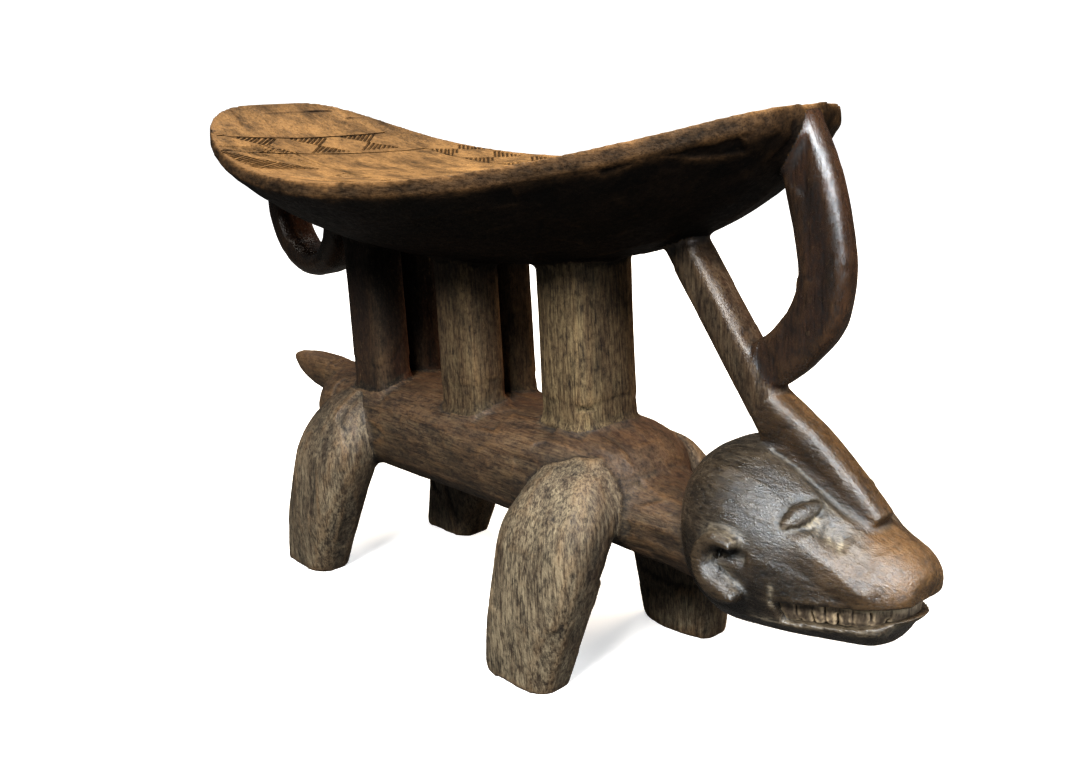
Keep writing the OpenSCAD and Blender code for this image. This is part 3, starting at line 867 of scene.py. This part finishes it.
# %% The tree that sweeps a bar along every line
def bar_tree():
    tree = bpy.data.node_groups.new("cutting_bar", "GeometryNodeTree")
    tree.interface.new_socket("Geometry", in_out="INPUT", socket_type="NodeSocketGeometry")
    size = tree.interface.new_socket("Half width", in_out="INPUT", socket_type="NodeSocketFloat")
    size.default_value = 0.0008
    tree.interface.new_socket("Material", in_out="INPUT", socket_type="NodeSocketMaterial")
    tree.interface.new_socket("Geometry", in_out="OUTPUT", socket_type="NodeSocketGeometry")
    make = tree.nodes.new
    source, target = make("NodeGroupInput"), make("NodeGroupOutput")
    curve, upright = make("GeometryNodeMeshToCurve"), make("GeometryNodeSetCurveNormal")
    profile, sweep = make("GeometryNodeCurvePrimitiveCircle"), make("GeometryNodeCurveToMesh")
    real, finish = make("GeometryNodeRealizeInstances"), make("GeometryNodeSetMaterial")
    profile.inputs["Resolution"].default_value = 4
    sweep.inputs["Fill Caps"].default_value = True
    join = tree.links.new
    join(source.outputs["Geometry"], curve.inputs["Mesh"])
    join(curve.outputs["Curve"], upright.inputs["Curve"])
    join(upright.outputs["Curve"], sweep.inputs["Curve"])
    join(source.outputs["Half width"], profile.inputs["Radius"])
    join(profile.outputs["Curve"], sweep.inputs["Profile Curve"])
    join(sweep.outputs["Mesh"], real.inputs["Geometry"])
    join(real.outputs["Geometry"], finish.inputs["Geometry"])
    join(source.outputs["Material"], finish.inputs["Material"])
    join(finish.outputs["Geometry"], target.inputs["Geometry"])
    if hasattr(upright, "mode"):
        upright.mode = "Z_UP"
    else:
        upright.inputs["Mode"].default_value = "Z Up"
    return tree, size.identifier


tree_of_bars, width_socket = bar_tree()


# %% Cutting with the bars
def cut_lines(chains, half_width):
    bars = bpy.data.objects.new("bars", lines_mesh("bars", chains))
    bpy.context.scene.collection.objects.link(bars)
    sweep = bars.modifiers.new("sweep", "NODES")
    sweep.node_group = tree_of_bars
    sweep[width_socket] = half_width * MM
    solid = bpy.data.meshes.new_from_object(bars.evaluated_get(bpy.context.evaluated_depsgraph_get()))
    bars.modifiers.clear()
    bars.data = solid
    before = len(seat.data.polygons)
    cut = seat.modifiers.new("cut", "BOOLEAN")
    cut.operation, cut.solver, cut.object = "DIFFERENCE", "MANIFOLD", bars
    result = bpy.data.meshes.new_from_object(seat.evaluated_get(bpy.context.evaluated_depsgraph_get()))
    seat.modifiers.clear()
    bpy.data.objects.remove(bars)
    seat.data = result
    print("  cut", len(chains), "lines:", before, "->", len(result.polygons), "faces")


# %% Cut the strokes, then the borders
rng = np.random.default_rng(12)
SHAKE = 0.18                                   # how far the carver's hand strays, in millimetres
shaken = [[np.array(a) + rng.normal(0, SHAKE, 2), np.array(b) + rng.normal(0, SHAKE, 2)] for a, b in strokes]
cut_lines([dropped(line, 3.5) for line in shaken], 0.8)
for line in borders:
    cut_lines([dropped(line, 4)], 0.9)

# %% [markdown]
# The thinned and cut seat has new points, so each takes its marks from the skin's nearest point. A point
# that now lies under the old surface is on the floor of a cut, where dirt has gathered.

# %% Marks on the finished seat
seat_skin, _ = read_mesh(seat.data)
near = kdtree.KDTree(len(seat_used))
for i, place in enumerate(skin[seat_used]):
    near.insert(place, i)
near.balance()
nearest = np.array([near.find(place)[1] for place in seat_skin])
seat_marks = marks[seat_used][nearest].copy()
sunk = ((skin[seat_used][nearest] - seat_skin) * facing[seat_used][nearest]).sum(axis=1)
# painted shade: the seat's top is painted darker and less warm towards the far side and the rear, away from the
# light; it goes into the grime and shade channel
shade = ramp(seat_skin[:, 1], 0, 55 * MM) * ramp(-seat_skin[:, 0], 70 * MM, 150 * MM)
shade = np.maximum(shade, 0.35 * ramp(-seat_skin[:, 0], 40 * MM, 110 * MM))
shade = np.maximum(shade, 0.7 * ramp(-seat_skin[:, 0], 140 * MM, 168 * MM))
shade *= 0.85 + 0.5 * clouds(seat_skin, 14 * MM, 93)
seat_marks[:, 2] *= 1 - 0.35 * np.clip(shade, 0, 1)
seat_marks[:, 3] = np.maximum(seat_marks[:, 3], 0.7 * shade)
seat_marks[:, 3] = np.clip(np.maximum(seat_marks[:, 3], ramp(sunk, 0.06 * MM, 0.25 * MM)), 0, 1)
seat.data.color_attributes.remove(seat.data.color_attributes["marks"])
add_marks(seat.data, seat_marks)
bpy.data.meshes.remove(seat_data)
seat.data.name = "worn_seat_panel"
seat.data.shade_smooth()
seat.data.set_sharp_from_angle(angle=math.radians(32))
bpy.data.objects.remove(seat)
finished("worn_seat_panel", bpy.data.meshes["worn_seat_panel"], ["seat_panel"])

# %% [markdown]
# ## The wood
# One kind of wood, finished by time in several ways. The fibres are noise squeezed along the grain; a
# larger noise gives blotches; the marks on the points say where dust, polish, red colour and grime lie, and
# where light and shade are painted in with them.
# The numbers that differ from slot to slot are the colours, the grain's direction and the gloss.
# An image of wood would be quicker, but it would need unwrapping and would show the same knots everywhere.

# %% A small helper for node trees
def colour(red, green, blue):
    return (red, green, blue, 1)


class Tree:
    """Adds nodes one by one: a value given for a socket is set, an output given for it is linked."""

    def __init__(self, name):
        self.material = bpy.data.materials.new(name)
        self.material.use_nodes = True
        self.tree = self.material.node_tree
        self.tree.nodes.clear()

    def put(self, node, socket, value):
        target = node.inputs[socket]
        if isinstance(value, bpy.types.NodeSocket):
            self.tree.links.new(value, target)
        else:
            target.default_value = value

    def add(self, kind, settings=None, **inputs):
        node = self.tree.nodes.new("ShaderNode" + kind)
        for key, value in (settings or {}).items():
            setattr(node, key, value)
        for key, value in inputs.items():
            self.put(node, int(key[1:]) if key[0] == "_" else key.replace("_", " "), value)
        return node

    def mix(self, low, high, amount):
        node = self.add("Mix", {"data_type": "RGBA"}, _0=amount)
        self.put(node, 6, low)
        self.put(node, 7, high)
        return node.outputs[2]

    def math(self, operation, a, b=0.0, clamp=False):
        return self.add("Math", {"operation": operation, "use_clamp": clamp}, _0=a, _1=b).outputs[0]

    def ramp(self, value, start, end, low=0.0, high=1.0):
        node = self.add("MapRange", None, Value=value, From_Min=start, From_Max=end, To_Min=low, To_Max=high)
        return node.outputs[0]

    def noise(self, coords, size, squeeze=(1, 1, 1), detail=4.0, rough=0.55):
        """size is the features' size in millimetres; squeeze makes them longer along an axis."""
        scale = tuple(1 / (size * MM * s) for s in squeeze)
        place = self.add("Mapping", None, Vector=coords, Scale=scale)
        return self.add("TexNoise", None, Vector=place.outputs[0], Scale=1.0, Detail=detail,
                        Roughness=rough).outputs[0]


# %% [markdown]
# Colours here are linear and dark: this wood reflects only a few percent of the light. What makes it
# look alive is that polish, dust and grime change its roughness as well as its colour, and the painted
# light and shade carried with the dust and grime marks change it the same way.

# %% The wood itself
def wood(name, grain, deep, brown, warm, dust_and_light, worn, gloss=0.42, dust_and_light_strength=1.0, polish=1.0, relief=1.0, shine=0.5,
         mottled=0.6):
    t = Tree(name)
    coords = t.add("TexCoord").outputs["Object"]
    marks_in = t.add("Attribute", {"attribute_name": "marks"})
    split = t.add("SeparateColor", None, Color=marks_in.outputs["Color"]).outputs
    dust_and_light_in, wear_in, warm_colour_and_light_in, grime_and_shade_in = split[0], split[1], split[2], marks_in.outputs["Alpha"]

    along = {"x": (14, 1, 1), "y": (1, 14, 1), "z": (1, 1, 14)}[grain]
    fibre = t.noise(coords, 0.6, along, 6, 0.65)
    streak = t.noise(coords, 3.0, tuple(v ** 0.75 for v in along), 6, 0.68)
    blotch = t.noise(coords, 22, (1, 1, 1), 5, 0.6)
    speck = t.noise(coords, 0.7, (1, 1, 1), 3, 0.7)
    patch = t.noise(coords, 9, tuple(v ** 0.35 for v in along), 9, 0.72)
    mottle = t.noise(coords, 1.5, tuple(v ** 0.25 for v in along), 8, 0.75)

    base = t.mix(deep, brown, t.ramp(t.mix(blotch, patch, 0.5), 0.45, 0.58))
    base = t.mix(base, deep, t.ramp(streak, 0.52, 0.72, 0, 0.7))
    # warm: the wood's own red and ochre, and the painted warm light on faces towards the far side
    warm_colour_and_light_amount = t.math("MULTIPLY", warm_colour_and_light_in, t.ramp(patch, 0.35, 0.6, 0.25, 1.0), True)
    base = t.mix(base, warm, warm_colour_and_light_amount)
    cover = t.math("ADD", t.math("MULTIPLY", patch, 0.35), t.math("MULTIPLY", streak, 0.35))
    cover = t.math("ADD", cover, t.math("MULTIPLY", mottle, 0.3))
    # dust_and_light_amount: dust, and the painted paler light on the near and front sides
    dust_and_light_amount = t.math("MULTIPLY", dust_and_light_in, t.ramp(cover, 0.42, 0.57, 0.15, 1.0))
    dust_and_light_amount = t.math("MULTIPLY", dust_and_light_amount, t.ramp(fibre, 0.35, 0.62, 0.35 * dust_and_light_strength, 1.4 * dust_and_light_strength), True)
    base = t.mix(base, dust_and_light, dust_and_light_amount)
    wear_amount = t.math("MULTIPLY", wear_in, t.ramp(patch, 0.4, 0.65, 0.2, polish), True)
    base = t.mix(base, worn, wear_amount)
    # grime_and_shade_amount darkens the colour for grime and for the painted shade on the posts and the seat
    grime_and_shade_amount = t.math("MULTIPLY", grime_and_shade_in, t.ramp(speck, 0.3, 0.6, 0.7, 1.0), True)
    base = t.mix(base, tuple(v * 0.35 for v in deep[:3]) + (1,), grime_and_shade_amount)
    base = t.mix(base, deep, t.ramp(speck, 0.6, 0.72, 0, 0.5))
    chalk = t.math("MULTIPLY", t.ramp(dust_and_light_in, 1.0, 1.7), t.ramp(fibre, 0.35, 0.6, 0.45, 1.0), True)
    base = t.mix(base, colour(0.42, 0.36, 0.25), chalk)
    pale_fleck = t.math("MULTIPLY", t.ramp(fibre, 0.68, 0.76), t.ramp(patch, 0.5, 0.6, 0, 0.5), True)
    base = t.mix(base, dust_and_light, pale_fleck)
    base = t.mix(base, colour(0, 0, 0), t.ramp(mottle, 0.5, 0.36, 0, mottled))
    base = t.mix(base, dust_and_light, t.ramp(mottle, 0.58, 0.72, 0, 0.3))
    base = t.mix(base, colour(0, 0, 0), t.ramp(fibre, 0.5, 0.32, 0, 0.6))

    rough = t.math("ADD", gloss, t.math("MULTIPLY", dust_and_light_amount, 0.4))
    rough = t.math("ADD", rough, t.math("MULTIPLY", grime_and_shade_amount, 0.25))
    rough = t.math("SUBTRACT", rough, t.math("MULTIPLY", wear_amount, 0.12))
    rough = t.math("ADD", rough, t.ramp(mottle, 0.35, 0.65, 0.14, -0.1), True)

    height = t.math("ADD", t.math("MULTIPLY", fibre, 0.5), t.math("MULTIPLY", streak, 0.9))
    height = t.math("ADD", height, t.math("MULTIPLY", speck, 0.25))
    height = t.math("ADD", height, t.math("MULTIPLY", mottle, 0.9))
    bump = t.add("Bump", None, Height=height, Strength=0.8 * relief, Distance=0.35 * MM)
    shader = t.add("BsdfPrincipled", None, Base_Color=base, Roughness=rough, Normal=bump.outputs[0])
    shader.inputs["Specular IOR Level"].default_value = shine
    output = t.add("OutputMaterial")
    t.tree.links.new(shader.outputs[0], output.inputs[0])
    return t.material


# %% [markdown]
# The seven finishes differ in their colours first: deep and brown make the wood; warm is
# the red or ochre of rubbed places and also a painted warm light on the faces towards the far side;
# dust_and_light, which also paints the lit near and front sides paler, and worn lie on top.

# %% The finishes
WOODS = {
    "seat_wood": wood("seat_wood", "x",
        deep=colour(0.003, 0.0024, 0.002), brown=colour(0.014, 0.009, 0.006), warm=colour(0.3, 0.17, 0.066),
        dust_and_light=colour(0.08, 0.055, 0.034), worn=colour(0.2, 0.11, 0.045),
        gloss=0.5, dust_and_light_strength=0.6, shine=0.12, mottled=0.45),
    "post_wood": wood("post_wood", "z",
        deep=colour(0.012, 0.009, 0.006), brown=colour(0.05, 0.033, 0.019), warm=colour(0.085, 0.028, 0.012),
        dust_and_light=colour(0.21, 0.165, 0.09), worn=colour(0.14, 0.085, 0.038),
        gloss=0.6, polish=0.6, shine=0.3),
    "body_wood": wood("body_wood", "z",
        deep=colour(0.01, 0.008, 0.007), brown=colour(0.04, 0.024, 0.015), warm=colour(0.08, 0.032, 0.014),
        dust_and_light=colour(0.25, 0.21, 0.14), worn=colour(0.17, 0.1, 0.045),
        gloss=0.5, polish=0.7),
    "body_wood_long": wood("body_wood_long", "x",
        deep=colour(0.01, 0.008, 0.007), brown=colour(0.045, 0.028, 0.017), warm=colour(0.09, 0.036, 0.016),
        dust_and_light=colour(0.15, 0.112, 0.06), worn=colour(0.14, 0.08, 0.036),
        gloss=0.5),
    "head_wood": wood("head_wood", "x",
        deep=colour(0.008, 0.0072, 0.0065), brown=colour(0.026, 0.021, 0.017), warm=colour(0.2, 0.105, 0.038),
        dust_and_light=colour(0.2, 0.17, 0.12), worn=colour(0.1, 0.07, 0.04),
        gloss=0.25, polish=0.4, relief=1.3),
    "handle_wood": wood("handle_wood", "z",
        deep=colour(0.008, 0.007, 0.0065), brown=colour(0.022, 0.015, 0.011), warm=colour(0.075, 0.03, 0.013),
        dust_and_light=colour(0.14, 0.112, 0.07), worn=colour(0.08, 0.048, 0.024),
        gloss=0.27, dust_and_light_strength=0.8, polish=0.4, relief=0.8),
    "tooth_wood": wood("tooth_wood", "z",
        deep=colour(0.03, 0.022, 0.016), brown=colour(0.12, 0.088, 0.06), warm=colour(0.06, 0.04, 0.025),
        dust_and_light=colour(0.34, 0.27, 0.19), worn=colour(0.6, 0.48, 0.32),
        gloss=0.5, polish=1.3, relief=0.4, mottled=0.15),
}
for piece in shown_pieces():
    name = piece.name
    if not name.startswith("worn_"):
        continue
    slot = next(value for key, value in SLOTS.items() if name.startswith("worn_" + key))
    slot += "_long" if name[5:] in ("trunk", "neck", "tail") else ""
    piece.data.materials.clear()
    piece.data.materials.append(WOODS[slot])
print("woods:", ", ".join(WOODS))

# %% [markdown]
# ## Floor and light
# A pale floor and soft light, as in a studio. A cool panel by the camera's right draws the bluish sheen
# along the handle and the cheek; a warmer one from the far side reddens the flank that faces it. A white
# floor would light the hull from below and take away its weight, so this one only looks pale: the Light
# Path node gives the camera a pale colour and every other ray a darker one. The cool panel lights only
# the parts that hands have polished: seen at a flat angle, the dished seat would throw it all back.

# %% Floor
floor_mesh = bmesh.new()
bmesh.ops.create_grid(floor_mesh, x_segments=1, y_segments=1, size=6)
floor_data = bpy.data.meshes.new("floor")
floor_mesh.to_mesh(floor_data)
floor_mesh.free()
floor = bpy.data.objects.new("floor", floor_data)
bpy.context.scene.collection.objects.link(floor)
pale = Tree("pale_floor")
seen = pale.add("LightPath").outputs["Is Camera Ray"]
floor_colour = pale.mix(colour(0.05, 0.05, 0.05), colour(0.88, 0.88, 0.88), seen)
spot = pale.add("TexCoord").outputs["Object"]
away = pale.add("VectorMath", {"operation": "LENGTH"}, _0=spot).outputs["Value"]
glow = pale.math("MULTIPLY", seen, pale.ramp(away, 0.25, 1.3, 0.55, 1.05))
pale_shader = pale.add("BsdfPrincipled", None, Base_Color=floor_colour, Roughness=0.9,
                       Emission_Color=colour(0.9, 0.9, 0.9), Emission_Strength=glow)
pale.tree.links.new(pale_shader.outputs[0], pale.add("OutputMaterial").inputs[0])
floor_data.materials.append(pale.material)
floor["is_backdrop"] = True


# %% Lights
def panel(name, place, toward, width, tall, watts, tint, diffuse=True, gloss=True):
    data = bpy.data.lights.new(name, "AREA")
    data.shape = "RECTANGLE"
    data.size, data.size_y, data.energy, data.color = width, tall, watts, tint
    light = bpy.data.objects.new(name, data)
    bpy.context.scene.collection.objects.link(light)
    light.location = place
    light.visible_diffuse, light.visible_glossy = diffuse, gloss
    light.rotation_euler = (Vector(toward) - Vector(place)).to_track_quat("-Z", "Y").to_euler()
    return light


middle = (0, 0, 0.09)
panel("key", (0.42, -0.66, 0.82), (0.05, -0.02, 0.08), 0.3, 0.3, 23, (1.0, 0.97, 0.93))
panel("front", (1.15, -0.2, 0.7), (0.12, 0, 0.1), 0.3, 0.8, 9, (0.92, 0.95, 1.0))
sheen = panel("sheen", (0.8, -0.8, 0.75), (0.12, 0, 0.1), 0.2, 0.7, 54, (0.78, 0.90, 1.0), diffuse=False)
polished = bpy.data.collections.new("polished_by_hands")
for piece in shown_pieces():
    if piece.name.startswith(("worn_head", "worn_jaw", "worn_ear", "worn_eye", "worn_nose", "worn_front")):
        polished.objects.link(piece)
sheen.light_linking.receiver_collection = polished
panel("warm", (0.1, 1.1, 0.55), middle, 0.7, 0.5, 16, (1.0, 0.80, 0.60), gloss=False)
panel("top", (-0.35, 0.1, 1.3), middle, 0.8, 0.6, 17, (1.0, 0.94, 0.85))
world = bpy.data.worlds.new("studio")
world.use_nodes = True
sky = world.node_tree
background = sky.nodes["Background"]
background.inputs["Color"].default_value = colour(0.98, 0.99, 1.0)
by_ray = sky.nodes.new("ShaderNodeLightPath")
strength = sky.nodes.new("ShaderNodeMapRange")
strength.inputs["To Min"].default_value = 0.09
strength.inputs["To Max"].default_value = 1.05
sky.links.new(by_ray.outputs["Is Camera Ray"], strength.inputs["Value"])
sky.links.new(strength.outputs[0], background.inputs["Strength"])
bpy.context.scene.world = world

# %% [markdown]
# The last cell measures the pieces: their triangles, any open edges, and the box round all that is shown.
# The last cell measures: the looks must not make the object bigger than its imported parts.

# %% Sizes, and the end
low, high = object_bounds()
total = 0
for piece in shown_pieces():
    count = sum(len(face.vertices) - 2 for face in piece.data.polygons)
    total += count
    if piece.name.startswith("worn_"):
        edge_use = np.zeros(len(piece.data.edges), dtype=int)
        loops = np.empty(len(piece.data.loops), dtype=np.int64)
        piece.data.loops.foreach_get("edge_index", loops)
        open_count = int((np.bincount(loops, minlength=len(edge_use)) != 2).sum())
        if open_count:
            print("  open or branching edges on", piece.name, open_count)
        print("  %-24s %7d triangles" % (piece.name, count))
print("total", total, "triangles; visual box", [round(v / MM, 1) for v in high - low])
